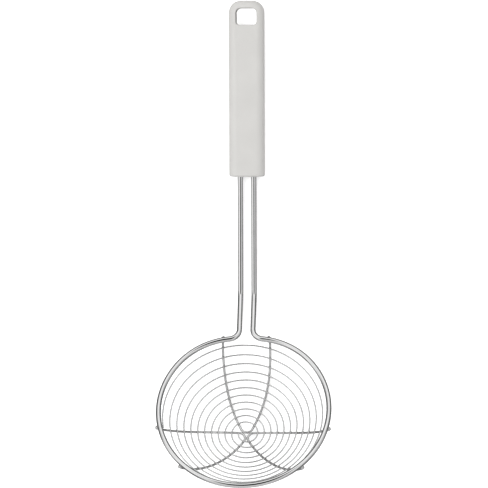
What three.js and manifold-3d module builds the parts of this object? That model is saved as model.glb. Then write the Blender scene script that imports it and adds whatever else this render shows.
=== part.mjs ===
// Wire skimmer: a shallow basket of three ribs and one wound wire, in a frame of one bent wire,
// with both ends of the frame held in a moulded handle. Millimetres and degrees, +Z up.
//
// The handle's own frame has its origin where the handle ends and the stems begin, midway through
// its thickness, with +Y towards the hang end. The head's own frame has its origin at the middle of
// the rim, +Y towards the handle in the rim's plane, and +Z out of the basket's mouth.

import * as THREE from 'three';
import { mergeVertices } from 'three/addons/utils/BufferGeometryUtils.js';
import Module from 'manifold-3d';

// Handle: one moulded bar
const HANDLE_LENGTH = 130.6;
const HANDLE_WIDTH = 26.3;
const HANDLE_THICKNESS = 15;
const HANDLE_SIDE_RADIUS = 6.5;
const HANG_END_CORNER_RADIUS = 8;
const HANG_END_EDGE_RADIUS = 4;
const HANG_END_CROWN = 0.8;
const STEM_END_CORNER_RADIUS = 1.7;
const STEM_END_EDGE_RADIUS = 2;
const STEM_END_CROWN = 0.4;

// Hang hole through the handle
const HOLE_WIDTH = 15.4;
const HOLE_HEIGHT = 12.2;
const HOLE_WEB = 5.7;
const HOLE_UPPER_CORNER_RADIUS = 2.8;
const HOLE_LOWER_CORNER_RADIUS = 1.2;
const HOLE_EDGE_RADIUS = 1;

// Frame wire: stem, rim and stem in one piece; the stem's lengths run to the corner of its bend.
// Towards the stems the rim draws in a little, in two shoulders of a smaller radius
const FRAME_WIRE_DIAMETER = 4;
const STEM_SPACING = 10;
const STEM_BORE_DEPTH = 40;
const STEM_STRAIGHT = 86.5;
const STEM_RISE = 34.9;
const STEM_BEND_RADIUS = 12;
const HEAD_TILT = THREE.MathUtils.degToRad(29);
const RIM_RADIUS = 63;
const RIM_SHOULDER_RADIUS = 55;
const RIM_SHOULDER_SPAN = THREE.MathUtils.degToRad(50);
const RIM_CORNER_RADIUS = 8;

// Ribs: alike wires bent round a nose at the basket's pole, with both ends up outside the rim. They
// are sprung open by hand, so their spreads differ a little
const RIBS = [
  { name: 'rib_wire_handle_side', azimuth: THREE.MathUtils.degToRad(90), spread: 34.5 },
  { name: 'rib_wire_left', azimuth: THREE.MathUtils.degToRad(208.9), spread: 37.5 },
  { name: 'rib_wire_right', azimuth: THREE.MathUtils.degToRad(329.8), spread: 37.4 },
];
const [HANDLE_SIDE_RIB, SPIRAL_RIB] = RIBS;
const RIB_WIRE_DIAMETER = 1.7;
const BASKET_DEPTH = 38.4;
const RIB_NOSE_RADIUS = 4.4;
const RIB_NOSE_SWEEP = THREE.MathUtils.degToRad(61);
const RIB_END_DROP = 0.6;

// Spiral: one wire wound from the left rib's nose out to the same rib's leg, just inside the rim
const SPIRAL_WIRE_DIAMETER = 1;
const SPIRAL_TURNS = 11;
const SPIRAL_RIM_INSET = 2.6;

// Clearances where pieces are pressed in or welded
const BORE_CLEARANCE = 0.3;
const WELD_GAP = 0.3;

// Facets
const FRAME_SIDES = 12;
const RIB_SIDES = 8;
const SPIRAL_SIDES = 6;
const BEND_STEP = THREE.MathUtils.degToRad(9);
const RIM_STEP = THREE.MathUtils.degToRad(5);
const RIB_NOSE_STEPS = 10;
const RIB_LEG_STEPS = 20;
const SPIRAL_STEPS_PER_TURN = 32;
const EDGE_STEPS = 6;
const CORNER_STEPS = 6;
const CROWN_STEPS = 6;

// Sizes that follow from those above
const HALF_THICKNESS = HANDLE_THICKNESS / 2;
const SIDE_RADIUS = Math.min(HANDLE_SIDE_RADIUS, HALF_THICKNESS, HANDLE_WIDTH / 2);
const RIM_CENTRE_DISTANCE = STEM_RISE + RIM_RADIUS;
const SHOULDER_OFFSET = RIM_RADIUS - RIM_SHOULDER_RADIUS;

// The ribs lie on a ball that clears the rim wire by the weld gap; its centre is above the rim
const RIM_TO_RIB = (FRAME_WIRE_DIAMETER + RIB_WIRE_DIAMETER) / 2 + WELD_GAP;
const BALL_GAUGE = BASKET_DEPTH - RIM_TO_RIB;
const BALL_HEIGHT = (RIM_RADIUS ** 2 - BALL_GAUGE ** 2) / (2 * BALL_GAUGE);
const RIB_BALL = BASKET_DEPTH + BALL_HEIGHT;
const SPIRAL_BALL = RIB_BALL - (RIB_WIRE_DIAMETER + SPIRAL_WIRE_DIAMETER) / 2 - WELD_GAP;
const SPIRAL_REACH = RIM_RADIUS - SPIRAL_RIM_INSET;

const wasm = await Module();
wasm.setup();

const PLASTIC = { color: 0xdadad6, roughness: 0.42, metalness: 0 };
const STEEL = { color: 0xc8c8c4, roughness: 0.18, metalness: 1 };

/** Joins rings of equal length into one closed skin; each ring runs anticlockwise about the way on. */
function skin(rings) {
  const size = rings[0].length;
  const first = rings[0];
  const last = rings[rings.length - 1];
  const middle = (ring) => ring.reduce((sum, point) => sum.add(point), new THREE.Vector3())
    .divideScalar(size);
  const points = [...rings.flat(), middle(first), middle(last)];
  const startMiddle = rings.length * size;
  const endMiddle = startMiddle + 1;
  const index = [];
  for (let side = 0; side < size; side += 1) {
    const next = (side + 1) % size;
    for (let row = 0; row + 1 < rings.length; row += 1) {
      const here = row * size;
      const there = here + size;
      index.push(here + side, here + next, there + next);
      index.push(here + side, there + next, there + side);
    }
    const end = (rings.length - 1) * size;
    index.push(startMiddle, next, side);
    index.push(endMiddle, end + side, end + next);
  }
  const geometry = new THREE.BufferGeometry().setFromPoints(points);
  geometry.setIndex(index);
  return geometry;
}

/** A round wire along stations, each a point and the direction of the wire there. */
function wireGeometry(stations, diameter, sides) {
  const across = new THREE.Vector3(0, 0, 1);
  if (Math.abs(stations[0].tangent.z) > Math.SQRT1_2) {
    across.set(1, 0, 0);
  }
  across.projectOnPlane(stations[0].tangent).normalize();
  let tangent = stations[0].tangent;
  const rings = stations.map((station) => {
    const turn = new THREE.Quaternion().setFromUnitVectors(tangent, station.tangent);
    across.applyQuaternion(turn);
    tangent = station.tangent;
    const along = new THREE.Vector3().crossVectors(tangent, across);
    return Array.from({ length: sides }, (_, side) => {
      const angle = (2 * Math.PI * side) / sides;
      return station.point.clone()
        .addScaledVector(across, (Math.cos(angle) * diameter) / 2)
        .addScaledVector(along, (Math.sin(angle) * diameter) / 2);
    });
  });
  return skin(rings);
}

/** Stations along a list of points, with each direction taken from the points beside it. */
function stationsThrough(points) {
  return points.map((point, i) => {
    const before = points[Math.max(i - 1, 0)];
    const after = points[Math.min(i + 1, points.length - 1)];
    return { point, tangent: after.clone().sub(before).normalize() };
  });
}

/** Follows a wire as a bending machine makes it: straight feeds, and bends of a set radius. */
class WireBender {
  constructor(position, heading, up) {
    this.position = position.clone();
    this.heading = heading.clone();
    this.up = up.clone();
    this.stations = [];
    this.mark();
  }

  mark() {
    this.stations.push({ point: this.position.clone(), tangent: this.heading.clone() });
  }

  feed(length) {
    this.position.addScaledVector(this.heading, length);
    this.mark();
    return this;
  }

  bend(axis, radius, angle, step) {
    const centre = new THREE.Vector3().crossVectors(axis, this.heading)
      .multiplyScalar(Math.sign(angle) * radius)
      .add(this.position);
    const steps = Math.ceil(Math.abs(angle) / step);
    for (let i = 0; i < steps; i += 1) {
      this.position.sub(centre).applyAxisAngle(axis, angle / steps).add(centre);
      this.heading.applyAxisAngle(axis, angle / steps);
      this.up.applyAxisAngle(axis, angle / steps);
      this.mark();
    }
    return this;
  }

  turnLeft(radius, angle, step = BEND_STEP) {
    return this.bend(this.up.clone(), radius, angle, step);
  }

  pitchUp(radius, angle) {
    const right = new THREE.Vector3().crossVectors(this.heading, this.up);
    return this.bend(right, radius, angle, BEND_STEP);
  }
}

/** A manifold solid of a closed geometry. */
function solid(geometry) {
  const bare = geometry.clone();
  bare.deleteAttribute('normal');
  bare.deleteAttribute('uv');
  const merged = mergeVertices(bare);
  const mesh = new wasm.Mesh({
    numProp: 3,
    vertProperties: new Float32Array(merged.attributes.position.array),
    triVerts: new Uint32Array(merged.index.array),
  });
  return new wasm.Manifold(mesh);
}

/** The geometry of a manifold solid. */
function geometryOf(manifold) {
  const mesh = manifold.getMesh();
  const geometry = new THREE.BufferGeometry();
  geometry.setAttribute('position', new THREE.BufferAttribute(mesh.vertProperties, 3));
  geometry.setIndex(new THREE.BufferAttribute(mesh.triVerts, 1));
  return geometry;
}

/** One rounded corner: a quarter ellipse from the angle `from`, anticlockwise. */
function corner(centreX, centreY, radiusX, radiusY, from) {
  return Array.from({ length: CORNER_STEPS + 1 }, (_, i) => {
    const angle = from + (Math.PI / 2) * (i / CORNER_STEPS);
    return new THREE.Vector2(
      centreX + radiusX * Math.cos(angle),
      centreY + radiusY * Math.sin(angle),
    );
  });
}

/** The inner points of a straight end between two corners, which its crown then bows. */
function endPoints(from, to) {
  return Array.from({ length: CROWN_STEPS - 1 }, (_, i) => {
    return from.clone().lerp(to, (i + 1) / CROWN_STEPS);
  });
}

/** A closed outline at height z: two straight sides and two ends with rounded corners. */
function outlineRing(z, halfWidth, low, high) {
  const right = halfWidth - high.radiusX;
  const lower = halfWidth - low.radiusX;
  const upperRight = corner(right, high.y - high.radiusY, high.radiusX, high.radiusY, 0);
  const upperLeft = corner(-right, high.y - high.radiusY, high.radiusX, high.radiusY, Math.PI / 2);
  const lowerLeft = corner(-lower, low.y + low.radiusY, low.radiusX, low.radiusY, Math.PI);
  const lowerRight = corner(lower, low.y + low.radiusY, low.radiusX, low.radiusY, 1.5 * Math.PI);
  const upper = [
    ...upperRight,
    ...endPoints(upperRight.at(-1), upperLeft[0]),
    ...upperLeft,
  ];
  const under = [
    ...lowerLeft,
    ...endPoints(lowerLeft.at(-1), lowerRight[0]),
    ...lowerRight,
  ];
  const bow = (point, crown) => point.y - crown * (point.x / halfWidth) ** 2;
  return [
    ...upper.map((point) => new THREE.Vector3(point.x, bow(point, high.crown), z)),
    ...under.map((point) => new THREE.Vector3(point.x, bow(point, -low.crown), z)),
  ];
}

/** How far a rounded edge of this radius has drawn in at height z above the handle's middle. */
function drawnIn(radius, z) {
  const above = Math.max(Math.abs(z) - (HALF_THICKNESS - radius), 0);
  return radius - Math.sqrt(Math.max(radius ** 2 - above ** 2, 0));
}

/** The handle's bar, without its holes: outlines stacked through the thickness, drawn in at the edges. */
function handleBar() {
  const sharpest = HOLE_EDGE_RADIUS;
  const hangEdge = Math.min(HANG_END_EDGE_RADIUS, HALF_THICKNESS);
  const stemEdge = Math.min(STEM_END_EDGE_RADIUS, HALF_THICKNESS);
  const levels = Array.from({ length: EDGE_STEPS + 1 }, (_, i) => {
    const angle = (Math.PI / 2) * (i / EDGE_STEPS);
    return HALF_THICKNESS - SIDE_RADIUS * (1 - Math.sin(angle));
  });
  const heights = [...levels.map((z) => -z).reverse(), ...levels];
  return skin(heights.map((z) => {
    const side = drawnIn(SIDE_RADIUS, z);
    const end = (y, inward, cornerRadius, edge, crown) => ({
      y: y + inward * drawnIn(edge, z),
      radiusX: Math.max(cornerRadius - side, sharpest),
      radiusY: Math.max(cornerRadius - drawnIn(edge, z), sharpest),
      crown,
    });
    return outlineRing(
      z,
      HANDLE_WIDTH / 2 - side,
      end(0, 1, STEM_END_CORNER_RADIUS, stemEdge, STEM_END_CROWN),
      end(HANDLE_LENGTH, -1, HANG_END_CORNER_RADIUS, hangEdge, HANG_END_CROWN),
    );
  }));
}

/** What is taken out for the hang hole: its outline right through, flared at both faces. */
function hangHoleCut() {
  const top = HANDLE_LENGTH - HOLE_WEB;
  const lastFlare = THREE.MathUtils.degToRad(75);
  const flareSteps = 3;
  const flare = Array.from({ length: flareSteps + 1 }, (_, i) => {
    const angle = (lastFlare * i) / flareSteps;
    return {
      z: HALF_THICKNESS - HOLE_EDGE_RADIUS * (1 - Math.sin(angle)),
      wider: HOLE_EDGE_RADIUS * (1 - Math.cos(angle)),
    };
  });
  const beyond = HOLE_EDGE_RADIUS / 5;
  flare.push({
    z: flare.at(-1).z + beyond,
    wider: flare.at(-1).wider + beyond * Math.tan(lastFlare),
  });
  const levels = [...flare.map((level) => ({ ...level, z: -level.z })).reverse(), ...flare];
  const hole = (y, cornerRadius, wider) => ({
    y,
    radiusX: cornerRadius + wider,
    radiusY: cornerRadius + wider,
    crown: 0,
  });
  return skin(levels.map(({ z, wider }) => outlineRing(
    z,
    HOLE_WIDTH / 2 + wider,
    hole(top - HOLE_HEIGHT - wider, HOLE_LOWER_CORNER_RADIUS, wider),
    hole(top + wider, HOLE_UPPER_CORNER_RADIUS, wider),
  )));
}

/** What is taken out for one stem: a blind bore in from the handle's end. */
function stemBoreCut(x) {
  const heading = new THREE.Vector3(0, 1, 0);
  const mouth = new THREE.Vector3(x, -STEM_END_CROWN - BORE_CLEARANCE, 0);
  const bottom = new THREE.Vector3(x, STEM_BORE_DEPTH, 0);
  const stations = [mouth, bottom].map((point) => ({ point, tangent: heading }));
  return wireGeometry(stations, FRAME_WIRE_DIAMETER + 2 * BORE_CLEARANCE, FRAME_SIDES);
}

/** The moulded handle. */
function handleGeometry() {
  const bar = solid(handleBar())
    .subtract(solid(hangHoleCut()))
    .subtract(solid(stemBoreCut(-STEM_SPACING / 2)))
    .subtract(solid(stemBoreCut(STEM_SPACING / 2)));
  return geometryOf(bar);
}

/** The frame wire, bent as one length: in the left bore, down, round the rim and back to the right bore. */
function frameWireGeometry() {
  const inBore = STEM_BORE_DEPTH - BORE_CLEARANCE;
  const shoulderX = SHOULDER_OFFSET * Math.sin(RIM_SHOULDER_SPAN);
  const shoulderY = SHOULDER_OFFSET * Math.cos(RIM_SHOULDER_SPAN);
  const cornerX = STEM_SPACING / 2 + RIM_CORNER_RADIUS;
  const cornerReach = RIM_SHOULDER_RADIUS + RIM_CORNER_RADIUS;
  const cornerLean = Math.asin((cornerX - shoulderX) / cornerReach);
  const cornerTurn = Math.PI / 2 - cornerLean;
  const shoulderTurn = RIM_SHOULDER_SPAN - cornerLean;
  const bendLength = STEM_BEND_RADIUS * Math.tan(HEAD_TILT / 2);
  const straight = inBore + STEM_STRAIGHT - bendLength;
  const cornerY = shoulderY + cornerReach * Math.cos(cornerLean);
  const rise = RIM_CENTRE_DISTANCE - cornerY - bendLength;
  const wire = new WireBender(
    new THREE.Vector3(-STEM_SPACING / 2, inBore, 0),
    new THREE.Vector3(0, -1, 0),
    new THREE.Vector3(0, 0, 1),
  );
  wire.feed(straight)
    .pitchUp(STEM_BEND_RADIUS, HEAD_TILT)
    .feed(rise)
    .turnLeft(RIM_CORNER_RADIUS, -cornerTurn)
    .turnLeft(RIM_SHOULDER_RADIUS, shoulderTurn, RIM_STEP)
    .turnLeft(RIM_RADIUS, 2 * Math.PI - 2 * RIM_SHOULDER_SPAN, RIM_STEP)
    .turnLeft(RIM_SHOULDER_RADIUS, shoulderTurn, RIM_STEP)
    .turnLeft(RIM_CORNER_RADIUS, -cornerTurn)
    .feed(rise)
    .pitchUp(STEM_BEND_RADIUS, HEAD_TILT)
    .feed(straight);
  return wireGeometry(wire.stations, FRAME_WIRE_DIAMETER, FRAME_SIDES);
}

/** Half of a rib seen along the basket's axis, with u along the rib's own axis and w beside it. */
class RibPlan {
  constructor(spread) {
    const halfSector = Math.PI / RIBS.length;
    const flank = (RIB_WIRE_DIAMETER + WELD_GAP) / 2;
    this.noseCentre = (RIB_NOSE_RADIUS + flank) / Math.sin(halfSector);
    this.noseEnd = this.nosePoint(RIB_NOSE_SWEEP);
    this.reach = Math.sqrt(RIB_BALL ** 2 - (BALL_HEIGHT + RIB_END_DROP) ** 2);
    const end = new THREE.Vector2(Math.sqrt(this.reach ** 2 - (spread / 2) ** 2), spread / 2);
    const chord = end.sub(this.noseEnd);
    this.along = new THREE.Vector2(Math.sin(RIB_NOSE_SWEEP), Math.cos(RIB_NOSE_SWEEP));
    this.inward = new THREE.Vector2(Math.cos(RIB_NOSE_SWEEP), -Math.sin(RIB_NOSE_SWEEP));
    this.legSweep = 2 * Math.atan2(chord.dot(this.inward), chord.dot(this.along));
    this.legRadius = chord.length() / (2 * Math.sin(this.legSweep / 2));
  }

  /** A point of the nose, by its angle from the rib's axis. */
  nosePoint(angle) {
    return new THREE.Vector2(
      this.noseCentre - RIB_NOSE_RADIUS * Math.cos(angle),
      RIB_NOSE_RADIUS * Math.sin(angle),
    );
  }

  /** A point of the leg, from 0 at the nose to 1 at the rim: one long arc that leaves the nose smoothly. */
  legPoint(part) {
    const angle = this.legSweep * part;
    return this.noseEnd.clone()
      .addScaledVector(this.along, this.legRadius * Math.sin(angle))
      .addScaledVector(this.inward, this.legRadius * (1 - Math.cos(angle)));
  }

  /** The leg's point at a distance from the basket's axis. */
  legPointAt(radius) {
    let low = 0;
    let high = 1;
    const halvings = 40;
    for (let i = 0; i < halvings; i += 1) {
      const part = (low + high) / 2;
      if (this.legPoint(part).length() < radius) {
        low = part;
      } else {
        high = part;
      }
    }
    return this.legPoint(low);
  }
}

/** How far the rim's middle is drawn in from its circle, in one direction about the basket's axis. */
function rimDrawnIn(azimuth) {
  const fromHandle = Math.acos(Math.cos(azimuth - HANDLE_SIDE_RIB.azimuth));
  const intoShoulder = Math.max(RIM_SHOULDER_SPAN - fromHandle, 0);
  const across = SHOULDER_OFFSET * Math.sin(intoShoulder);
  const reach = SHOULDER_OFFSET * Math.cos(intoShoulder)
    + Math.sqrt(RIM_SHOULDER_RADIUS ** 2 - across ** 2);
  return RIM_RADIUS - reach;
}

/** A point of the basket in the head's frame, on a ball of this radius. */
function onBall(ball, radius, azimuth) {
  return new THREE.Vector3(
    radius * Math.cos(azimuth),
    radius * Math.sin(azimuth),
    BALL_HEIGHT - Math.sqrt(ball ** 2 - radius ** 2),
  );
}

/** One rib: leg, nose and leg, with its ends pulled in where the rim is. */
function ribGeometry({ azimuth, spread }) {
  const ribPlan = new RibPlan(spread);
  const leg = Array.from({ length: RIB_LEG_STEPS }, (_, i) => ribPlan.legPoint(1 - i / RIB_LEG_STEPS));
  const nose = Array.from({ length: RIB_NOSE_STEPS + 1 }, (_, i) => {
    return ribPlan.nosePoint(RIB_NOSE_SWEEP * (1 - (2 * i) / RIB_NOSE_STEPS));
  });
  const otherLeg = leg.map((point) => new THREE.Vector2(point.x, -point.y)).reverse();
  const pullFrom = SPIRAL_REACH + (RIB_WIRE_DIAMETER + SPIRAL_WIRE_DIAMETER) / 2;
  const points = [...leg, ...nose, ...otherLeg].map((point) => {
    const pull = THREE.MathUtils.smoothstep(point.length(), pullFrom, ribPlan.reach);
    const spot = onBall(RIB_BALL, point.length(), azimuth + point.angle());
    const across = 1 - (pull * rimDrawnIn(azimuth + point.angle())) / point.length();
    return new THREE.Vector3(spot.x * across, spot.y * across, spot.z);
  });
  return wireGeometry(stationsThrough(points), RIB_WIRE_DIAMETER, RIB_SIDES);
}

/** The spiral's centreline: steady pitch as seen along the basket's axis, anticlockwise outwards. */
function spiralPoints() {
  const ribPlan = new RibPlan(SPIRAL_RIB.spread);
  const ends = [ribPlan.noseEnd, ribPlan.legPointAt(SPIRAL_REACH)];
  const [inner, outer] = ends.map((point) => ({
    radius: point.length(),
    azimuth: SPIRAL_RIB.azimuth - point.angle(),
  }));
  const winding = 2 * Math.PI * SPIRAL_TURNS + outer.azimuth - inner.azimuth;
  const steps = Math.round((winding / (2 * Math.PI)) * SPIRAL_STEPS_PER_TURN);
  return Array.from({ length: steps + 1 }, (_, i) => {
    const part = i / steps;
    const radius = THREE.MathUtils.lerp(inner.radius, outer.radius, part);
    return onBall(SPIRAL_BALL, radius, inner.azimuth + winding * part);
  });
}

/** The least gap between one turn of a winding and another, measured between points. */
function leastGap(points, stepsPerTurn, diameter) {
  let least = Infinity;
  const apart = Math.floor(stepsPerTurn / 2);
  points.forEach((point, i) => {
    for (let j = i + apart; j < points.length; j += 1) {
      least = Math.min(least, point.distanceTo(points[j]) - diameter);
    }
  });
  return least;
}

/** A named piece. */
function piece(name, geometry, finish) {
  const faceted = geometry.toNonIndexed();
  faceted.computeVertexNormals();
  const mesh = new THREE.Mesh(faceted, new THREE.MeshStandardMaterial(finish));
  mesh.name = name;
  return mesh;
}

const spiral = spiralPoints();
const spiralGap = leastGap(spiral, SPIRAL_STEPS_PER_TURN, SPIRAL_WIRE_DIAMETER);
console.log(`spiral: least gap between turns ${spiralGap.toFixed(2)} mm`);

// The head, on the rim's plane
const head = new THREE.Group();
head.position.set(
  0,
  -STEM_STRAIGHT - RIM_CENTRE_DISTANCE * Math.cos(HEAD_TILT),
  RIM_CENTRE_DISTANCE * Math.sin(HEAD_TILT),
);
head.rotation.x = -HEAD_TILT;
const ribs = RIBS.map((rib) => piece(rib.name, ribGeometry(rib), STEEL));
const spiralWire = piece(
  'spiral_wire',
  wireGeometry(stationsThrough(spiral), SPIRAL_WIRE_DIAMETER, SPIRAL_SIDES),
  STEEL,
);
head.add(...ribs, spiralWire);

const handleGrip = piece('handle_grip', handleGeometry(), PLASTIC);
const frameWire = piece('frame_wire', frameWireGeometry(), STEEL);

const skimmer = new THREE.Group();
skimmer.add(handleGrip, frameWire, head);

/** The lowest corner of some pieces, with the skimmer as it now lies. */
function lowestPoint(pieces) {
  const lowest = new THREE.Vector3(0, 0, Infinity);
  const point = new THREE.Vector3();
  skimmer.updateMatrixWorld(true);
  for (const mesh of pieces) {
    const corners = mesh.geometry.attributes.position;
    for (let i = 0; i < corners.count; i += 1) {
      point.fromBufferAttribute(corners, i).applyMatrix4(mesh.matrixWorld);
      if (point.z < lowest.z) {
        lowest.copy(point);
      }
    }
  }
  return lowest;
}

// It lies as it would on a table: on the edge of the handle nearest the head, and on what is lowest
// of the frame and the ribs
const SETTLING_ROUNDS = 8;
for (let round = 0; round < SETTLING_ROUNDS; round += 1) {
  const underHandle = lowestPoint([handleGrip]);
  const underHead = lowestPoint([frameWire, ...ribs]);
  skimmer.rotation.x += Math.atan2(underHead.z - underHandle.z, underHandle.y - underHead.y);
}

// Its origin is on the table, on its plane of symmetry, under the middle of its length
skimmer.updateMatrixWorld(true);
const box = new THREE.Box3().setFromObject(skimmer, true);
const middle = box.getCenter(new THREE.Vector3());
skimmer.position.set(0, -middle.y, -box.min.z);

export default skimmer;
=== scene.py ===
"""Dresses the wire skimmer: a moulded handle, a bent wire frame and a basket of ribs and a spiral.

Sizes are in millimetres and angles in degrees; the finished meshes are in metres, in the frame of the
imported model. The handle's own frame starts where the stems leave the handle, midway through its
thickness, with +Y towards the hang end. The head's own frame starts at the middle of the rim, with +Y
towards the handle and +Z out of the basket's mouth.
"""

import logging
import math
from dataclasses import dataclass, field
from enum import Enum

import bpy
from mathutils import Matrix, Quaternion, Vector
from mathutils.kdtree import KDTree

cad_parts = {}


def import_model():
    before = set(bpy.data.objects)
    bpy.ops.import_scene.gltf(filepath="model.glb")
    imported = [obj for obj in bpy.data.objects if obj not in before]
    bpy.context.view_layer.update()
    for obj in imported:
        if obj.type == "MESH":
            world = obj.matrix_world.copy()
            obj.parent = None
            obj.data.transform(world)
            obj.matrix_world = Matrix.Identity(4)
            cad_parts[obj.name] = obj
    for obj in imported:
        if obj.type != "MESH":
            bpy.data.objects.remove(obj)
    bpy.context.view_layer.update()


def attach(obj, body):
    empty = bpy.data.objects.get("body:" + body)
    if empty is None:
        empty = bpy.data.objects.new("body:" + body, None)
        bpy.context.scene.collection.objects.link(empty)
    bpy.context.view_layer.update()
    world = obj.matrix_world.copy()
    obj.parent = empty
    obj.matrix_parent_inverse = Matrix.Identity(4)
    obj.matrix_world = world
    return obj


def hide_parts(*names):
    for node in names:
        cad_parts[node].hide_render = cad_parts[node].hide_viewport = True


LOG = logging.getLogger("skimmer")
MM = 0.001
BODY = "root"
# A mix node has a set of sockets for each type of data; these are the ones for colours.
MIX_FIRST, MIX_SECOND, MIX_RESULT = 6, 7, 2
# Most of a noise pattern lies between these two values.
NOISE_MIDDLE = (0.3, 0.7)
# A wire's rounded tip: its least size as a part of the full one, and how far the wire's own stations
# stay from the tip, as a part of the rounding's length.
LEAST_FULLNESS = 0.05
CAP_CLEARANCE = 1.05
# The handle's outlines: steps round a corner, cuts along a bowed end, and what counts as one place.
CORNER_SEGMENTS = 12
END_CUTS = 9
SAME_PLACE = 1e-3


class Slot(Enum):
    """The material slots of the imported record."""

    HANDLE = "handle_plastic"
    FRAME = "frame_steel"
    RIB = "rib_steel"
    SPIRAL = "spiral_steel"


class Rib(Enum):
    """The three ribs: the direction of each one's axis about the basket's own, and its spread."""

    HANDLE_SIDE = (90.0, 34.5)
    LEFT = (208.9, 37.5)
    RIGHT = (329.8, 37.4)

    @property
    def azimuth(self) -> float:
        """The direction of the rib's axis, in radians."""
        return math.radians(self.value[0])

    @property
    def spread(self) -> float:
        """How far apart its two ends are."""
        return self.value[1]

    @property
    def node(self) -> str:
        """The CAD node that this rib stands for."""
        return f"rib_wire_{self.name.lower()}"


@dataclass(frozen=True)
class RestPose:
    """How the skimmer lies on the table, and how its head is set on its stems."""

    pitch: float = 3.68385
    handle_y: float = 51.61484
    handle_z: float = 7.35600
    head_tilt: float = 29.0
    head_y: float = -172.12527
    head_z: float = 47.46286

    def handle_frame(self) -> Matrix:
        """The handle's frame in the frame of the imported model, still in millimetres."""
        place = Matrix.Translation((0.0, self.handle_y, self.handle_z))
        return place @ Matrix.Rotation(math.radians(self.pitch), 4, "X")

    def head_frame(self) -> Matrix:
        """The head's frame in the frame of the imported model, still in millimetres."""
        place = Matrix.Translation((0.0, self.head_y, self.head_z))
        return self.handle_frame() @ place @ Matrix.Rotation(math.radians(-self.head_tilt), 4, "X")


class Bench:
    """Small steps at the work bench: picking, adding and finishing objects with operators."""

    @staticmethod
    def clear() -> None:
        """Leaves edit mode and deselects every object."""
        if bpy.context.object and bpy.context.object.mode != "OBJECT":
            bpy.ops.object.mode_set(mode="OBJECT")
        bpy.ops.object.select_all(action="DESELECT")

    @staticmethod
    def pick(piece: bpy.types.Object) -> None:
        """Makes one object the only selected and the active one."""
        Bench.clear()
        piece.select_set(True)
        bpy.context.view_layer.objects.active = piece

    @staticmethod
    def open_up(piece: bpy.types.Object) -> None:
        """Goes into edit mode on one object, with all of it selected."""
        Bench.pick(piece)
        bpy.ops.object.mode_set(mode="EDIT")
        bpy.ops.mesh.select_all(action="SELECT")

    @staticmethod
    def added(name: str) -> bpy.types.Object:
        """Names the object that an operator has just added."""
        piece = bpy.context.object
        piece.name = name
        piece.data.name = name
        return piece

    @staticmethod
    def select_vertices(piece: bpy.types.Object, test) -> None:
        """Selects the vertices whose place passes a test, and goes into edit mode.

        Args:
            piece: the mesh object that is being edited.
            test: says of a vertex's place whether it is taken.
        """
        bpy.ops.object.mode_set(mode="EDIT")
        bpy.ops.mesh.select_mode(type="VERT")
        bpy.ops.mesh.select_all(action="DESELECT")
        bpy.ops.object.mode_set(mode="OBJECT")
        for vertex in piece.data.vertices:
            vertex.select = test(vertex.co)
        bpy.ops.object.mode_set(mode="EDIT")

    @staticmethod
    def settle(piece: bpy.types.Object, frame: Matrix) -> None:
        """Puts a piece that was made in its own frame and in millimetres where it belongs, in metres.

        Args:
            piece: the finished mesh object.
            frame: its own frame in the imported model's, in millimetres.
        """
        Bench.pick(piece)
        piece.matrix_world = Matrix.Scale(MM, 4) @ frame
        bpy.context.view_layer.update()
        bpy.ops.object.transform_apply(location=True, rotation=True, scale=True)

    @staticmethod
    def face_outwards(piece: bpy.types.Object, angle: float) -> None:
        """Turns all faces outwards and smooths the shading up to an angle between faces, in degrees."""
        Bench.open_up(piece)
        bpy.ops.mesh.normals_make_consistent(inside=False)
        bpy.ops.object.mode_set(mode="OBJECT")
        bpy.ops.object.shade_smooth_by_angle(angle=math.radians(angle))

    @staticmethod
    def cut(piece: bpy.types.Object, cutter: bpy.types.Object) -> None:
        """Takes one closed shape out of another, and throws the cutter away."""
        Bench.pick(piece)
        boolean = piece.modifiers.new("cut", "BOOLEAN")
        boolean.operation = "DIFFERENCE"
        boolean.solver = "EXACT"
        boolean.object = cutter
        bpy.ops.object.modifier_apply(modifier=boolean.name)
        bpy.data.objects.remove(cutter, do_unlink=True)

    @staticmethod
    def hand_over(piece: bpy.types.Object, slot: Slot, *nodes: str) -> None:
        """Ties a finished piece to the frame, and reports it.

        Args:
            piece: the finished mesh object.
            slot: the record's material slot for the piece; not used.
            nodes: the CAD nodes that it stands for, if any.
        """
        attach(piece, BODY)
        if nodes:
            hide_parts(*nodes)
        LOG.info("%s: %d faces", piece.name, len(piece.data.polygons))


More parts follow.
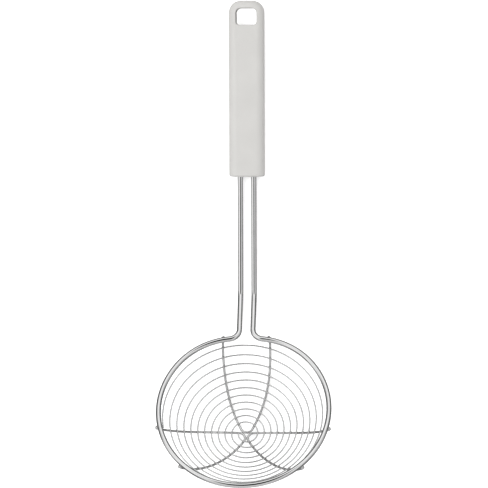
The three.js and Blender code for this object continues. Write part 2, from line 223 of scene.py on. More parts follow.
class NodeSheet:
    """The nodes of a material or of the surround, with short ways to add and to join them."""

    def __init__(self, owner: bpy.types.Material | bpy.types.World) -> None:
        """Starts on a new material or world, which has only its shader and its output."""
        owner.use_nodes = True
        self.owner = owner
        self.tree = owner.node_tree
        is_world = isinstance(owner, bpy.types.World)
        self.shader = self.tree.nodes["Background" if is_world else "Principled BSDF"]

    def add(self, kind: str, **settings) -> bpy.types.Node:
        """Adds a node and sets its properties.

        Args:
            kind: the node's type name.
            settings: its properties by name.

        Returns:
            The new node.
        """
        node = self.tree.nodes.new(kind)
        for key, value in settings.items():
            setattr(node, key, value)
        return node

    def join(self, start: bpy.types.NodeSocket, end: bpy.types.NodeSocket) -> None:
        """Links one socket to another."""
        self.tree.links.new(start, end)

    def noise(self, where: bpy.types.NodeSocket, scale: float, detail: float) -> bpy.types.NodeSocket:
        """A noise pattern.

        Args:
            where: the coordinates that it reads.
            scale: how many waves fit in one unit of them.
            detail: how many finer layers it has.

        Returns:
            The socket with its value, from 0 to 1.
        """
        node = self.add("ShaderNodeTexNoise")
        node.inputs["Scale"].default_value = scale
        node.inputs["Detail"].default_value = detail
        self.join(where, node.inputs["Vector"])
        return node.outputs["Fac"]

    def spread(
        self, value: bpy.types.NodeSocket, start: tuple, end: tuple = (0, 1)
    ) -> bpy.types.NodeSocket:
        """A value spread from one range over another, and held at its ends.

        Args:
            value: the value.
            start: the two ends of its own range.
            end: what they become.

        Returns:
            The socket with the new value.
        """
        node = self.add("ShaderNodeMapRange")
        for name, number in zip(("From Min", "From Max", "To Min", "To Max"), (*start, *end)):
            node.inputs[name].default_value = number
        self.join(value, node.inputs["Value"])
        return node.outputs["Result"]

    def maths(
        self, operation: str, first: bpy.types.NodeSocket, second: tuple = (0, 0, 0)
    ) -> bpy.types.Node:
        """A step of vector arithmetic on a socket and a fixed vector.

        Args:
            operation: the step's name.
            first: the socket.
            second: the vector.

        Returns:
            The new node.
        """
        node = self.add("ShaderNodeVectorMath", operation=operation)
        node.inputs[1].default_value = second
        self.join(first, node.inputs[0])
        return node

    def blend(self, part: bpy.types.NodeSocket, first, second) -> bpy.types.NodeSocket:
        """A mix of two colours.

        Args:
            part: how much of the second one there is.
            first: a colour or a socket.
            second: a colour or a socket.

        Returns:
            The socket with the mixed colour.
        """
        node = self.add("ShaderNodeMix", data_type="RGBA")
        self.join(part, node.inputs["Factor"])
        for index, colour in ((MIX_FIRST, first), (MIX_SECOND, second)):
            if isinstance(colour, bpy.types.NodeSocket):
                self.join(colour, node.inputs[index])
            else:
                node.inputs[index].default_value = (*colour, 1.0)
        return node.outputs[MIX_RESULT]

    def bump(
        self, height: bpy.types.NodeSocket, depth: float, strength: float
    ) -> bpy.types.NodeSocket:
        """A bump of the surface.

        Args:
            height: the pattern that raises it.
            depth: how far it rises, in millimetres.
            strength: how strongly it shows.

        Returns:
            The socket with the bumped normal.
        """
        node = self.add("ShaderNodeBump")
        node.inputs["Strength"].default_value = strength
        node.inputs["Distance"].default_value = depth * MM
        self.join(height, node.inputs["Height"])
        return node.outputs["Normal"]


@dataclass(frozen=True)
class SatinPlastic:
    """The handle's finish: pale warm grey moulded plastic with a fine satin grain."""

    colour: tuple = (0.50, 0.493, 0.478)
    mottle: tuple = (0.48, 0.473, 0.459)
    roughness: tuple = (0.40, 0.50)
    grain_waves: float = 3200.0
    grain_depth: float = 0.03
    grain_strength: float = 0.25
    flow_waves: float = 60.0
    detail: float = 2.0
    ior: float = 1.49

    def material(self) -> bpy.types.Material:
        """Builds the node material."""
        sheet = NodeSheet(bpy.data.materials.new("satin_moulded_plastic"))
        place = sheet.add("ShaderNodeTexCoord").outputs["Object"]
        grain = sheet.noise(place, self.grain_waves, self.detail)
        flow = sheet.noise(place, self.flow_waves, self.detail)
        tint = sheet.blend(sheet.spread(flow, NOISE_MIDDLE), self.colour, self.mottle)
        sheet.join(tint, sheet.shader.inputs["Base Color"])
        sheet.join(sheet.spread(grain, NOISE_MIDDLE, self.roughness), sheet.shader.inputs["Roughness"])
        raised = sheet.bump(grain, self.grain_depth, self.grain_strength)
        sheet.join(raised, sheet.shader.inputs["Normal"])
        sheet.shader.inputs["IOR"].default_value = self.ior
        return sheet.owner


@dataclass(frozen=True)
class DrawnSteel:
    """The wires' finish: bright stainless wire with faint lines from drawing, heated at the welds."""

    name: str
    colour: tuple = (0.735, 0.735, 0.735)
    worn: tuple = (0.685, 0.685, 0.685)
    heat: tuple = (0.45, 0.44, 0.43)
    roughness: tuple = (0.04, 0.09)
    line_waves: float = 2.6
    line_detail: float = 4.0
    line_depth: float = 0.004
    line_strength: float = 0.35
    blotch_waves: float = 140.0
    blotch_detail: float = 2.0

    def material(self) -> bpy.types.Material:
        """Builds the node material; it reads the wire's own attributes `drawn_line` and `weld_heat`."""
        sheet = NodeSheet(bpy.data.materials.new(self.name))
        line = sheet.add("ShaderNodeAttribute", attribute_name="drawn_line").outputs["Vector"]
        place = sheet.add("ShaderNodeTexCoord").outputs["Object"]
        lines = sheet.noise(line, self.line_waves, self.line_detail)
        blotch = sheet.noise(place, self.blotch_waves, self.blotch_detail)
        tone = sheet.blend(sheet.spread(blotch, NOISE_MIDDLE), self.colour, self.worn)
        warmth = sheet.add("ShaderNodeAttribute", attribute_name="weld_heat").outputs["Fac"]
        sheet.join(sheet.blend(warmth, tone, self.heat), sheet.shader.inputs["Base Color"])
        sheet.join(sheet.spread(lines, NOISE_MIDDLE, self.roughness), sheet.shader.inputs["Roughness"])
        raised = sheet.bump(lines, self.line_depth, self.line_strength)
        sheet.join(raised, sheet.shader.inputs["Normal"])
        sheet.shader.inputs["Metallic"].default_value = 1.0
        return sheet.owner


@dataclass
class Station:
    """One place along a wire: its point, its direction, and how full the wire is there."""

    point: Vector
    heading: Vector
    fullness: float = 1.0


@dataclass
class WirePath:
    """The centreline of one wire, and the round wire made along it."""

    name: str
    diameter: float
    stations: list
    join_distance: float = 1e-4
    smooth_angle: float = 40.0
    line_stretch: float = 30.0

    @staticmethod
    def through(name: str, diameter: float, points: list) -> "WirePath":
        """A wire through a list of points, its direction taken from the points beside each one.

        Args:
            name: the piece's name.
            diameter: the wire's diameter.
            points: the centreline.

        Returns:
            The wire's path.
        """
        before = points[:1] + points[:-1]
        after = points[1:] + points[-1:]
        stations = [
            Station(point, (ahead - behind).normalized())
            for point, behind, ahead in zip(points, before, after)
        ]
        return WirePath(name, diameter, stations)

    def round_ends(self, reach: float, steps: int = 6, last_angle: float = 88.0) -> None:
        """Rounds both cut ends over, within the wire's own length.

        Args:
            reach: how far from the end the rounding starts, as a part of the wire's radius.
            steps: how many rings it takes.
            last_angle: how far the rounding turns in, in degrees; a small flat stays at the tip.
        """
        length = reach * self.diameter / 2
        for end, outward in ((0, -1.0), (-1, 1.0)):
            tip = self.stations[end]
            cap = []
            for step in range(steps + 1):
                angle = math.radians(last_angle) * step / steps
                back = length * (1 - math.sin(angle))
                full = max(1 - reach * (1 - math.cos(angle)), LEAST_FULLNESS)
                cap.append(Station(tip.point - tip.heading * outward * back, tip.heading, full))
            kept = [s for s in self.stations if (s.point - tip.point).length > length * CAP_CLEARANCE]
            self.stations = kept + cap if end else cap[::-1] + kept

    def make(self, sides: int) -> bpy.types.Object:
        """Makes the round wire as a bevelled curve, turned into a mesh with its drawing lines.

        Args:
            sides: how many sides the wire has; a multiple of four.

        Returns:
            The mesh object, in its own frame and in millimetres.
        """
        Bench.clear()
        bpy.ops.curve.primitive_bezier_curve_add(location=(0, 0, 0))
        wire = Bench.added(self.name)
        curve = wire.data
        curve.dimensions = "3D"
        curve.twist_mode = "MINIMUM"
        curve.splines.clear()
        spline = curve.splines.new("POLY")
        spline.points.add(len(self.stations) - 1)
        for point, station in zip(spline.points, self.stations):
            point.co = (*station.point, 1.0)
            point.radius = station.fullness
        curve.bevel_mode = "ROUND"
        curve.bevel_depth = self.diameter / 2
        curve.bevel_resolution = sides // 2 - 2
        curve.use_fill_caps = True
        Bench.pick(wire)
        bpy.ops.object.convert(target="MESH")
        wire = Bench.added(self.name)
        Bench.open_up(wire)
        bpy.ops.mesh.remove_doubles(threshold=self.join_distance)
        bpy.ops.object.mode_set(mode="OBJECT")
        self._draw_lines(wire)
        Bench.face_outwards(wire, self.smooth_angle)
        return wire

    def _draw_lines(self, wire: bpy.types.Object) -> None:
        """Stores for each vertex where it is round and along the wire, for the drawing lines."""
        tree = KDTree(len(self.stations))
        across = self.stations[0].heading.orthogonal().normalized()
        before = self.stations[0]
        frames = []
        run = 0.0
        for i, station in enumerate(self.stations):
            across = before.heading.rotation_difference(station.heading) @ across
            run += (station.point - before.point).length
            frames.append((station, across.copy(), station.heading.cross(across), run))
            tree.insert(station.point, i)
            before = station
        tree.balance()
        lines = wire.data.attributes.new("drawn_line", "FLOAT_VECTOR", "POINT")
        for vertex in wire.data.vertices:
            station, first, second, run = frames[tree.find(vertex.co)[1]]
            out = vertex.co - station.point
            lines.data[vertex.index].vector = (out.dot(first), out.dot(second), run / self.line_stretch)


@dataclass
class WireBender:
    """Follows a wire as a bending machine makes it: straight feeds, and bends of a set radius."""

    position: Vector
    heading: Vector
    up: Vector
    stations: list = field(default_factory=list)

    def mark(self) -> None:
        """Notes the wire's present place."""
        self.stations.append(Station(self.position.copy(), self.heading.copy()))

    def feed(self, length: float, step: float) -> None:
        """Feeds a straight length, in steps of at most the one given."""
        count = max(1, math.ceil(length / step))
        for _ in range(count):
            self.position = self.position + self.heading * (length / count)
            self.mark()

    def bend(self, axis: Vector, radius: float, angle: float, step: float) -> None:
        """Bends the wire.

        Args:
            axis: the axis that it turns about.
            radius: the bend's radius at the wire's middle.
            angle: how far it turns, in radians, anticlockwise about the axis.
            step: the greatest turn from one station to the next, in degrees.
        """
        centre = self.position + axis.cross(self.heading) * math.copysign(radius, angle)
        count = math.ceil(math.degrees(abs(angle)) / step)
        turn = Quaternion(axis, angle / count)
        for _ in range(count):
            self.position = centre + turn @ (self.position - centre)
            self.heading = turn @ self.heading
            self.up = turn @ self.up
            self.mark()

    def turn_left(self, radius: float, angle: float, step: float) -> None:
        """Bends to the left, in the plane across the wire's up direction."""
        self.bend(self.up.copy(), radius, angle, step)

    def pitch_up(self, radius: float, angle: float, step: float) -> None:
        """Bends upwards."""
        self.bend(self.heading.cross(self.up), radius, angle, step)


@dataclass
class HandleGrip:
    """The moulded handle: a flat bar with round sides, a hang hole and two sockets for the stems."""

    finish: SatinPlastic
    pose: RestPose
    length: float = 130.55
    width: float = 26.3
    thickness: float = 14.98
    side_radius: float = 6.5
    hang_corner: float = 8.0
    hang_edge: float = 4.0
    hang_crown: float = 0.8
    stem_corner: float = 1.7
    stem_edge: float = 2.0
    stem_crown: float = 0.4
    hole_width: float = 15.4
    hole_height: float = 12.2
    hole_web: float = 5.65
    hole_upper_corner: float = 2.8
    hole_lower_corner: float = 1.2
    hole_edge: float = 1.0
    socket_diameter: float = 4.2
    socket_depth: float = 40.0
    socket_spacing: float = 10.0
    socket_sides: int = 48
    mouth_start: float = 0.15
    mouth_reach: float = 1.2
    mouth_flare: float = 1.45
    edge_steps: int = 14
    flare_steps: int = 7
    flare_angle: float = 80.0
    flare_past: float = 0.15
    smooth_angle: float = 32.0
    cutter_angle: float = 30.0

    def build(self) -> None:
        """Builds and dresses the handle."""
        handle = self._bar()
        Bench.cut(handle, self._hole_cutter())
        for side in (-1, 1):
            Bench.cut(handle, self._socket_cutter(side * self.socket_spacing / 2))
        Bench.face_outwards(handle, self.smooth_angle)
        Bench.settle(handle, self.pose.handle_frame())
        handle.data.materials.append(self.finish.material())
        Bench.hand_over(handle, Slot.HANDLE, "handle_grip")

    @staticmethod
    def _plate(
        name: str, width: float, low: float, high: float, corners: tuple, crowns: tuple
    ) -> bpy.types.Object:
        """A flat outline: a plane whose corners are rounded and whose ends are bowed.

        Args:
            name: the object's name.
            width: the outline's width.
            low: where its lower end is.
            high: where its upper end is.
            corners: the radius of the lower and of the upper corners.
            crowns: how far the lower and the upper end bow out in the middle.

        Returns:
            The plate as a mesh object at height 0.
        """
        Bench.clear()
        bpy.ops.mesh.primitive_plane_add(size=1, location=(0, 0, 0))
        plate = Bench.added(name)
        middle = (low + high) / 2
        bpy.ops.object.mode_set(mode="EDIT")
        bpy.ops.transform.resize(value=(width, high - low, 1))
        bpy.ops.transform.translate(value=(0, middle, 0))
        bpy.ops.object.mode_set(mode="OBJECT")
        lower, upper = corners
        for radius, test in ((lower, lambda c: c.y < middle), (upper, lambda c: c.y > middle)):
            Bench.select_vertices(plate, test)
            bpy.ops.mesh.bevel(
                offset=radius, offset_type="OFFSET", affect="VERTICES", segments=CORNER_SEGMENTS
            )
            bpy.ops.object.mode_set(mode="OBJECT")
        for y in (low, high):
            Bench.select_vertices(plate, lambda c: abs(c.y - y) < SAME_PLACE)
            bpy.ops.mesh.subdivide(number_cuts=END_CUTS)
            bpy.ops.object.mode_set(mode="OBJECT")
        for vertex in plate.data.vertices:
            out = (vertex.co.x / (width / 2)) ** 2
            vertex.co.y += crowns[0] * out if vertex.co.y < middle else -crowns[1] * out
        return plate

    @staticmethod
    def _stack(plate: bpy.types.Object, levels: list) -> None:
        """Raises a plate into a closed form, level by level.

        Args:
            plate: the flat outline; it is left as the form's lowest face.
            levels: for each level its height, half width, lower and upper end, starting with the
                plate's own.
        """
        plate.data.transform(Matrix.Translation((0, 0, levels[0][0])))
        Bench.open_up(plate)
        bpy.ops.mesh.select_mode(type="FACE")
        bpy.ops.mesh.select_all(action="SELECT")
        for (z, half, low, high), (next_z, next_half, next_low, next_high) in zip(levels, levels[1:]):
            bpy.ops.mesh.extrude_region_move(TRANSFORM_OT_translate={"value": (0, 0, next_z - z)})
            stretch = (next_high - next_low) / (high - low)
            bpy.ops.transform.resize(
                value=(next_half / half, stretch, 1),
                center_override=(0, (low + high) / 2, next_z),
            )
            shift = (next_low + next_high) / 2 - (low + high) / 2
            bpy.ops.transform.translate(value=(0, shift, 0))
        bpy.ops.object.mode_set(mode="OBJECT")

    def _drawn_in(self, radius: float, z: float) -> float:
        """How far an edge of this radius has drawn in at height z above the middle."""
        above = max(abs(z) - (self.thickness / 2 - radius), 0.0)
        return radius - math.sqrt(max(radius**2 - above**2, 0.0))

    def _bar(self) -> bpy.types.Object:
        """The handle's bar, without its holes."""
        half = self.thickness / 2
        angles = [math.pi / 2 * i / self.edge_steps for i in range(self.edge_steps + 1)]
        heights = [half - self.side_radius * (1 - math.sin(angle)) for angle in angles]
        levels = [
            (
                z,
                self.width / 2 - self._drawn_in(self.side_radius, z),
                self._drawn_in(self.stem_edge, z),
                self.length - self._drawn_in(self.hang_edge, z),
            )
            for z in [-h for h in reversed(heights)] + heights
        ]
        plate = self._plate(
            "handle_moulding",
            self.width,
            0.0,
            self.length,
            (self.stem_corner, self.hang_corner),
            (self.stem_crown, self.hang_crown),
        )
        _, first_half, first_low, first_high = levels[0]
        Bench.open_up(plate)
        bpy.ops.transform.resize(
            value=(first_half * 2 / self.width, (first_high - first_low) / self.length, 1),
            center_override=(0, self.length / 2, 0),
        )
        bpy.ops.transform.translate(value=(0, (first_low + first_high - self.length) / 2, 0))
        bpy.ops.object.mode_set(mode="OBJECT")
        self._stack(plate, levels)
        return plate

    def _hole_cutter(self) -> bpy.types.Object:
        """What is taken out for the hang hole: its outline right through, flared at both faces."""
        half = self.thickness / 2
        top = self.length - self.hole_web
        last = math.radians(self.flare_angle)
        flare = []
        for step in range(self.flare_steps + 1):
            angle = last * step / self.flare_steps
            rise = half - self.hole_edge * (1 - math.sin(angle))
            flare.append((rise, self.hole_edge * (1 - math.cos(angle))))
        rise, wider = flare[-1]
        flare.append((rise + self.flare_past, wider + self.flare_past * math.tan(last)))
        through = [(-z, wider) for z, wider in reversed(flare)] + flare
        levels = [
            (z, self.hole_width / 2 + w, top - self.hole_height - w, top + w) for z, w in through
        ]
        widest = flare[-1][1]
        plate = self._plate(
            "hole_cutter",
            self.hole_width + 2 * widest,
            levels[0][2],
            levels[0][3],
            (self.hole_lower_corner + widest, self.hole_upper_corner + widest),
            (0.0, 0.0),
        )
        self._stack(plate, levels)
        Bench.face_outwards(plate, self.cutter_angle)
        return plate

    def _socket_cutter(self, x: float) -> bpy.types.Object:
        """What is taken out for one stem: a blind socket with a slightly broken mouth.

        Args:
            x: where the stem is, across the handle.

        Returns:
            The cutter.
        """
        Bench.clear()
        start = self.mouth_start
        bpy.ops.mesh.primitive_cylinder_add(
            vertices=self.socket_sides,
            radius=self.socket_diameter / 2,
            depth=self.socket_depth - start,
            rotation=(math.radians(90), 0, 0),
            location=(x, (self.socket_depth + start) / 2, 0),
        )
        cutter = Bench.added("socket_cutter")
        bpy.ops.object.transform_apply(location=True, rotation=True, scale=True)
        Bench.select_vertices(cutter, lambda c: c.y < start + SAME_PLACE)
        bpy.ops.mesh.extrude_region_move(TRANSFORM_OT_translate={"value": (0, -self.mouth_reach, 0)})
        bpy.ops.transform.resize(
            value=(self.mouth_flare, 1, self.mouth_flare),
            center_override=(x, start - self.mouth_reach, 0),
        )
        bpy.ops.object.mode_set(mode="OBJECT")
        Bench.face_outwards(cutter, self.cutter_angle)
        return cutter


@dataclass
class FrameWire:
    """The frame: one wire from the left socket, once round the rim and back into the right socket."""

    finish: DrawnSteel
    pose: RestPose
    diameter: float = 4.0
    polished_off: float = 0.06
    spacing: float = 10.0
    in_handle: float = 39.7
    straight: float = 86.5
    rise: float = 34.9
    stem_bend: float = 12.0
    rim_radius: float = 63.0
    shoulder_radius: float = 55.0
    shoulder_span: float = 50.0
    rim_corner: float = 8.0
    sides: int = 40
    stem_step: float = 6.0
    rise_step: float = 2.0
    pitch_step: float = 2.5
    corner_step: float = 4.0
    rim_step: float = 1.5

    def path(self) -> WirePath:
        """The wire's path in the handle's frame."""
        tilt = math.radians(self.pose.head_tilt)
        span = math.radians(self.shoulder_span)
        offset = self.rim_radius - self.shoulder_radius
        reach = self.shoulder_radius + self.rim_corner
        lean = math.asin((self.spacing / 2 + self.rim_corner - offset * math.sin(span)) / reach)
        corner = offset * math.cos(span) + reach * math.cos(lean)
        bend_length = self.stem_bend * math.tan(tilt / 2)
        straight = self.in_handle + self.straight - bend_length
        rise = self.rise + self.rim_radius - corner - bend_length
        wire = WireBender(
            Vector((-self.spacing / 2, self.in_handle, 0)), Vector((0, -1, 0)), Vector((0, 0, 1))
        )
        wire.mark()
        wire.feed(straight, self.stem_step)
        wire.pitch_up(self.stem_bend, tilt, self.pitch_step)
        wire.feed(rise, self.rise_step)
        wire.turn_left(self.rim_corner, lean - math.pi / 2, self.corner_step)
        wire.turn_left(self.shoulder_radius, span - lean, self.rim_step)
        wire.turn_left(self.rim_radius, 2 * math.pi - 2 * span, self.rim_step)
        wire.turn_left(self.shoulder_radius, span - lean, self.rim_step)
        wire.turn_left(self.rim_corner, lean - math.pi / 2, self.corner_step)
        wire.feed(rise, self.rise_step)
        wire.pitch_up(self.stem_bend, tilt, self.pitch_step)
        wire.feed(straight, self.stem_step)
        return WirePath("frame_wire_bent", self.diameter - self.polished_off, wire.stations)

    def rim_reach(self, azimuth: float) -> float:
        """How far the rim's middle is from the basket's axis, in one direction about it, in radians."""
        from_handle = math.acos(math.cos(azimuth - math.pi / 2))
        into = max(math.radians(self.shoulder_span) - from_handle, 0.0)
        offset = self.rim_radius - self.shoulder_radius
        beside = offset * math.sin(into)
        return offset * math.cos(into) + math.sqrt(self.shoulder_radius**2 - beside**2)

    def build(self, welds: "Welds") -> None:
        """Builds and dresses the frame wire.

        Args:
            welds: the welds, which shade the wire near each one.
        """
        wire = self.path().make(self.sides)
        Bench.settle(wire, self.pose.handle_frame())
        welds.shade(wire)
        wire.data.materials.append(self.finish.material())
        Bench.hand_over(wire, Slot.FRAME, "frame_wire")


@dataclass
class Basket:
    """The basket's plan: three bent ribs on one ball, and the spiral on a smaller one inside them."""

    frame: FrameWire
    rib_diameter: float = 1.7
    depth: float = 38.4
    nose_radius: float = 4.4
    nose_sweep: float = 61.0
    end_drop: float = 0.6
    spiral_diameter: float = 1.0
    turns: int = 11
    rim_inset: float = 2.6
    weld_gap: float = 0.3

    def __post_init__(self) -> None:
        """Works out the balls that the wires lie on, and the plan of each rib."""
        gauge = self.depth - (self.frame.diameter + self.rib_diameter) / 2 - self.weld_gap
        self.ball_height = (self.frame.rim_radius**2 - gauge**2) / (2 * gauge)
        self.rib_ball = self.depth + self.ball_height
        self.spiral_ball = self.rib_ball - (self.rib_diameter + self.spiral_diameter) / 2 - self.weld_gap
        self.spiral_reach = self.frame.rim_radius - self.rim_inset
        self.rib_reach = math.sqrt(self.rib_ball**2 - (self.ball_height + self.end_drop) ** 2)
        self.plans = {rib: RibPlan(self, rib) for rib in Rib}

    def on_ball(self, ball: float, radius: float, azimuth: float) -> Vector:
        """A point of the basket in the head's frame.

        Args:
            ball: the radius of the ball that it lies on.
            radius: its distance from the basket's axis.
            azimuth: its direction about that axis, in radians.

        Returns:
            The point.
        """
        height = self.ball_height - math.sqrt(ball**2 - radius**2)
        return Vector((radius * math.cos(azimuth), radius * math.sin(azimuth), height))

    def spiral_points(self, steps_per_turn: int = 96) -> list:
        """The centreline of the spiral, from the left rib's nose out to the same rib's leg."""
        plan = self.plans[Rib.LEFT]
        ends = [plan.nose_end, plan.leg_point_at(self.spiral_reach)]
        (inner, start), (outer, end) = [
            (point.length, Rib.LEFT.azimuth - math.atan2(point.y, point.x)) for point in ends
        ]
        winding = 2 * math.pi * self.turns + end - start
        steps = round(winding / (2 * math.pi) * steps_per_turn)
        parts = [i / steps for i in range(steps + 1)]
        return [
            self.on_ball(self.spiral_ball, inner + (outer - inner) * part, start + winding * part)
            for part in parts
        ]


@dataclass
class RibPlan:
    """One rib as seen along the basket's axis: a nose at the pole and two long arcs to the rim."""

    basket: Basket
    rib: Rib

    def __post_init__(self) -> None:
        """Works out the rib's arcs, with the first axis along the rib and the second beside it."""
        basket = self.basket
        flank = (basket.rib_diameter + basket.weld_gap) / 2
        self.nose_centre = (basket.nose_radius + flank) / math.sin(math.pi / len(Rib))
        sweep = math.radians(basket.nose_sweep)
        self.nose_end = self.nose_point(sweep)
        half = self.rib.spread / 2
        chord = Vector((math.sqrt(basket.rib_reach**2 - half**2), half)) - self.nose_end
        self.along = Vector((math.sin(sweep), math.cos(sweep)))
        self.inward = Vector((math.cos(sweep), -math.sin(sweep)))
        self.leg_sweep = 2 * math.atan2(chord.dot(self.inward), chord.dot(self.along))
        self.leg_radius = chord.length / (2 * math.sin(self.leg_sweep / 2))

    def nose_point(self, angle: float) -> Vector:
        """A point of the nose, by its angle from the rib's axis."""
        radius = self.basket.nose_radius
        return Vector((self.nose_centre - radius * math.cos(angle), radius * math.sin(angle)))

    def leg_point(self, part: float) -> Vector:
        """A point of the leg, from 0 at the nose to 1 at the rim."""
        angle = self.leg_sweep * part
        sideways = self.leg_radius * (1 - math.cos(angle))
        return self.nose_end + self.along * (self.leg_radius * math.sin(angle)) + self.inward * sideways

    def leg_point_at(self, radius: float, halvings: int = 40) -> Vector:
        """The leg's point at a distance from the basket's axis, found by halving."""
        low, high = 0.0, 1.0
        for _ in range(halvings):
            part = (low + high) / 2
            low, high = (part, high) if self.leg_point(part).length < radius else (low, part)
        return self.leg_point(low)

    def _placed(self, point: Vector) -> Vector:
        """A point of the plan in the head's frame, pulled in near the rim where the rim is drawn in."""
        basket = self.basket
        azimuth = self.rib.azimuth + math.atan2(point.y, point.x)
        start = basket.spiral_reach + (basket.rib_diameter + basket.spiral_diameter) / 2
        part = min(max((point.length - start) / (basket.rib_reach - start), 0.0), 1.0)
        pull = part * part * (3 - 2 * part)
        drawn_in = basket.frame.rim_radius - basket.frame.rim_reach(azimuth)
        across = 1 - pull * drawn_in / point.length
        spot = basket.on_ball(basket.rib_ball, point.length, azimuth)
        return Vector((spot.x * across, spot.y * across, spot.z))

    def points(self, leg_steps: int = 80, nose_steps: int = 32) -> list:
        """The centreline of the rib in the head's frame: leg, nose and leg."""
        sweep = math.radians(self.basket.nose_sweep)
        leg = [self.leg_point(1 - i / leg_steps) for i in range(leg_steps)]
        nose = [self.nose_point(sweep * (1 - 2 * i / nose_steps)) for i in range(nose_steps + 1)]
        other = [Vector((point.x, -point.y)) for point in reversed(leg)]
        return [self._placed(point) for point in leg + nose + other]


@dataclass
class Welds:
    """The spots where the basket's wires are fused to each other and to the rim."""

    basket: Basket
    finish: DrawnSteel
    pose: RestPose
    spot_size: tuple = (0.62, 0.5, 0.42)
    rim_size: tuple = (1.3, 1.6, 1.2)
    nose_size: tuple = (0.9, 0.55, 0.5)
    heat_reach: float = 1.5
    heat_share: float = 0.3
    near: float = 1.25
    rim_share: float = 0.8
    shoulder: float = 0.45
    swell: float = 1.3
    smooth_angle: float = 60.0

    def __post_init__(self) -> None:
        """Finds every weld in the head's frame, and keeps where it is for shading the wires."""
        self.spots = self._crossings() + self._rim_ends() + self._noses()
        frame = self.pose.head_frame()
        self.tree = KDTree(len(self.spots))
        for i, (place, _) in enumerate(self.spots):
            self.tree.insert((frame @ place.translation) * MM, i)
        self.tree.balance()

    @staticmethod
    def _bead(point: Vector, along: Vector, out: Vector, size: tuple) -> tuple:
        """A weld's place and size.

        Args:
            point: its middle.
            along: the direction that it is longest in.
            out: the direction from one wire to the other.
            size: its half lengths along, across and through.

        Returns:
            The place as a matrix, and the size.
        """
        out = out.normalized()
        along = (along - out * along.dot(out)).normalized()
        across = out.cross(along)
        place = Matrix((along, across, out)).transposed().to_4x4()
        place.translation = point
        return place, size

    def _crossings(self) -> list:
        """The spots where the spiral crosses a leg of a rib."""
        basket = self.basket
        spiral = basket.spiral_points()
        spots = []
        for rib in Rib:
            points = basket.plans[rib].points()
            tree = KDTree(len(points))
            for i, point in enumerate(points):
                tree.insert(point, i)
            tree.balance()
            found = [tree.find(point) for point in spiral]
            near = self.near * (basket.rib_ball - basket.spiral_ball)
            for i in range(1, len(spiral) - 1):
                here = found[i][2]
                if here < near and here <= found[i - 1][2] and here < found[i + 1][2]:
                    along = spiral[i + 1] - spiral[i - 1]
                    spots.append(self._between(points[found[i][1]], spiral[i], along))
        return spots

    def _between(self, first: Vector, second: Vector, along: Vector) -> tuple:
        """A spot where two wires touch, midway between their faces."""
        basket = self.basket
        part = (basket.rib_diameter / 2 + basket.weld_gap / 2) / (basket.rib_ball - basket.spiral_ball)
        return self._bead(first.lerp(second, part), along, second - first, self.spot_size)

    def _rim_ends(self) -> list:
        """The lumps of weld that hold the ribs' ends to the rim and show outside it."""
        basket = self.basket
        spots = []
        for rib in Rib:
            points = basket.plans[rib].points()
            for end, beside in ((points[1], points[3]), (points[-2], points[-4])):
                reach = basket.frame.rim_reach(math.atan2(end.y, end.x))
                flat = Vector((end.x, end.y, 0.0)).normalized() * reach
                out = end - flat
                spots.append(self._bead(flat + out * self.rim_share, beside - end, out, self.rim_size))
        return spots

    def _noses(self) -> list:
        """The spots where one rib's nose touches the next one's."""
        basket = self.basket
        spots = []
        halfway = math.pi / len(Rib)
        for rib in Rib:
            azimuth = rib.azimuth + halfway
            radius = basket.plans[rib].nose_centre * math.cos(halfway)
            point = basket.on_ball(basket.rib_ball, radius, azimuth)
            along = Vector((math.cos(azimuth), math.sin(azimuth), 0.0))
            spots.append(self._bead(point, along, Vector((-along.y, along.x, 0.0)), self.nose_size))
        return spots

    def shade(self, wire: bpy.types.Object) -> None:
        """Stores on a wire how much heat each vertex has had from the nearest weld."""
        heat = wire.data.attributes.new("weld_heat", "FLOAT", "POINT")
        for vertex in wire.data.vertices:
            reach = self.tree.find(vertex.co)[2] / (self.heat_reach * MM)
            heat.data[vertex.index].value = self.heat_share * math.exp(-(reach**2))

    def build(self) -> None:
        """Builds and dresses the weld beads as one piece: balls with a swollen top and bottom."""
        Bench.clear()
        bpy.ops.mesh.primitive_ico_sphere_add(subdivisions=2, radius=1.0, location=(0, 0, 0))
        pattern = Bench.added("weld_bead")
        Bench.select_vertices(pattern, lambda c: abs(c.z) > self.shoulder)
        bpy.ops.transform.resize(value=(self.swell, self.swell, 1.0), center_override=(0, 0, 0))
        bpy.ops.object.mode_set(mode="OBJECT")
        beads = []
        for place, size in self.spots:
            bead = pattern.copy()
            bead.data = pattern.data.copy()
            bead.data.transform(place @ Matrix.Diagonal((*size, 1.0)))
            bpy.context.scene.collection.objects.link(bead)
            beads.append(bead)
        bpy.data.objects.remove(pattern, do_unlink=True)
        Bench.pick(beads[0])
        for bead in beads:
            bead.select_set(True)
        bpy.ops.object.join()
        welds = Bench.added("weld_beads")
        Bench.face_outwards(welds, self.smooth_angle)
        Bench.settle(welds, self.pose.head_frame())
        self.shade(welds)
        welds.data.materials.append(self.finish.material())
        Bench.hand_over(welds, Slot.RIB)


